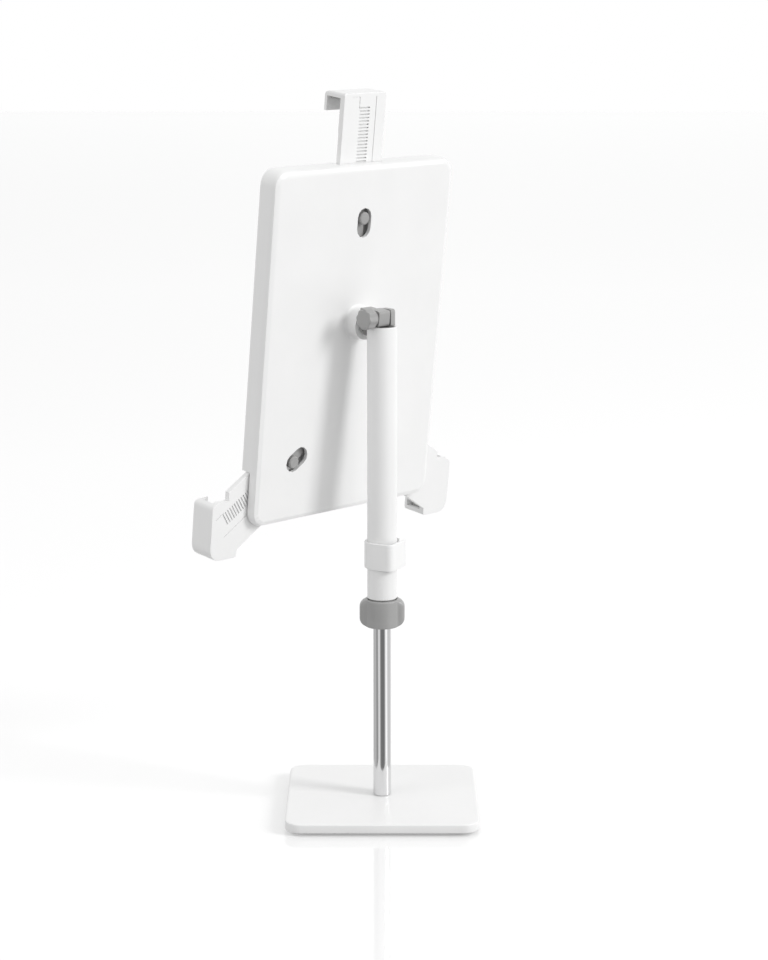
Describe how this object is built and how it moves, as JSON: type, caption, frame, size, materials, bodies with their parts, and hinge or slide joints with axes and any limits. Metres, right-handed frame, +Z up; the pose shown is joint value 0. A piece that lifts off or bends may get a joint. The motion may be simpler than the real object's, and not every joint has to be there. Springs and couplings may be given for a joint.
{
  "type": "tablet stand",
  "caption": "Free-standing tablet stand with a flat plate base, a telescoping pole, a tilting and turning holder and sliding hooked arms.",
  "frame": {"origin": "centre of the foot pad's underside, on the pole's axis", "axes": "+Z up along the pole, +X along the base plate's width to the right, +Y along its depth; the holder's back is turned 44.7 degrees about +Z from facing -Y and leans back 6.3 degrees"},
  "size_m": [0.1555, 0.1537, 0.3967],
  "materials": {
    "white_shell": "satin moulded ABS",
    "white_tube": "satin powder coat",
    "white_base": "satin powder coat",
    "grey_plastic": "fine moulded matte",
    "polished_steel": "polished",
    "dark_screw": "machined, dark",
    "soft_rubber": "matte"
  },
  "bodies": {
    "base": {"base_plate": "white_base", "foot_pad": "soft_rubber", "base_screw": "dark_screw", "support_rod": "polished_steel", "rod_guide_bush": "grey_plastic", "rod_top_screw": "dark_screw"},
    "slider": {"collet": "grey_plastic"},
    "collar": {"height_collar": "grey_plastic"},
    "mast": {"mast_tube": "white_tube", "tube_end_bush": "grey_plastic", "tube_cap": "grey_plastic", "cap_grub_screw": "dark_screw", "tilt_nut": "dark_screw"},
    "clip": {"cable_clip": "white_shell"},
    "knob": {"tilt_knob": "grey_plastic", "tilt_bolt": "polished_steel"},
    "tilt": {"tilt_bracket": "grey_plastic", "tilt_washer": "polished_steel", "pivot_washer": "polished_steel", "pivot_screw": "dark_screw"},
    "holder": {"back_shell": "white_shell", "front_panel": "white_shell", "case_screw_1": "dark_screw", "case_screw_2": "dark_screw", "case_screw_3": "dark_screw", "case_screw_4": "dark_screw", "case_screw_5": "dark_screw", "grip_pad_upper": "soft_rubber", "grip_pad_lower": "soft_rubber"},
    "arm_top": {"top_arm": "white_shell", "top_arm_liner": "soft_rubber"},
    "arm_left": {"left_arm": "white_shell", "left_arm_liner": "soft_rubber"},
    "arm_right": {"right_arm": "white_shell", "right_arm_liner": "soft_rubber"},
    "latch_top": {"top_latch": "grey_plastic"},
    "latch_left": {"left_latch": "grey_plastic"}
  },
  "joints": [
    {"name": "mast_height", "type": "slide", "parent": "base", "child": "slider", "axis": [0, 0, 1], "range_m": [-0.095, 0.005]},
    {"name": "mast_swivel", "type": "hinge", "parent": "slider", "child": "mast", "pos_m": [0, 0, 0.2], "axis": [0, 0, 1], "continuous": true},
    {"name": "collar_twist", "type": "hinge", "parent": "slider", "child": "collar", "pos_m": [0, 0, 0.112], "axis": [0, 0, 1], "range_deg": [-60, 0]},
    {"name": "clip_slide", "type": "slide", "parent": "mast", "child": "clip", "axis": [0, 0, 1], "range_m": [-0.015, 0.1]},
    {"name": "head_tilt", "type": "hinge", "parent": "mast", "child": "tilt", "pos_m": [0, 0, 0.2762], "axis": [0.7108, 0.7034, 0], "range_deg": [-9, 70]},
    {"name": "knob_turn", "type": "hinge", "parent": "mast", "child": "knob", "pos_m": [0, 0, 0.2762], "axis": [0.7108, 0.7034, 0], "range_deg": [0, 180]},
    {"name": "holder_turn", "type": "hinge", "parent": "tilt", "child": "holder", "pos_m": [-0.01379, 0.01394, 0.27172], "axis": [-0.6991, 0.7065, 0.1097], "range_deg": [-90, 90]},
    {"name": "top_arm_slide", "type": "slide", "parent": "holder", "child": "arm_top", "axis": [0.0772, -0.078, 0.994], "range_m": [-0.027, 0.018]},
    {"name": "left_arm_slide", "type": "slide", "parent": "holder", "child": "arm_left", "axis": [-0.6382, -0.5474, -0.5414], "range_m": [-0.02, 0.014]},
    {"name": "right_arm_slide", "type": "slide", "parent": "holder", "child": "arm_right", "axis": [0.5541, 0.6324, -0.5413], "range_m": [-0.02, 0.014]},
    {"name": "top_latch_slide", "type": "slide", "parent": "holder", "child": "latch_top", "axis": [-0.0772, 0.078, -0.994], "range_m": [0, 0.0055], "stiffness_N_per_m": 150, "springref_m": -0.001},
    {"name": "left_latch_slide", "type": "slide", "parent": "holder", "child": "latch_left", "axis": [0.6382, 0.5474, 0.5414], "range_m": [0, 0.0055], "stiffness_N_per_m": 150, "springref_m": -0.001}
  ],
  "couplings": [
    {"joint": "right_arm_slide", "follows": "left_arm_slide", "ratio": 1}
  ]
}
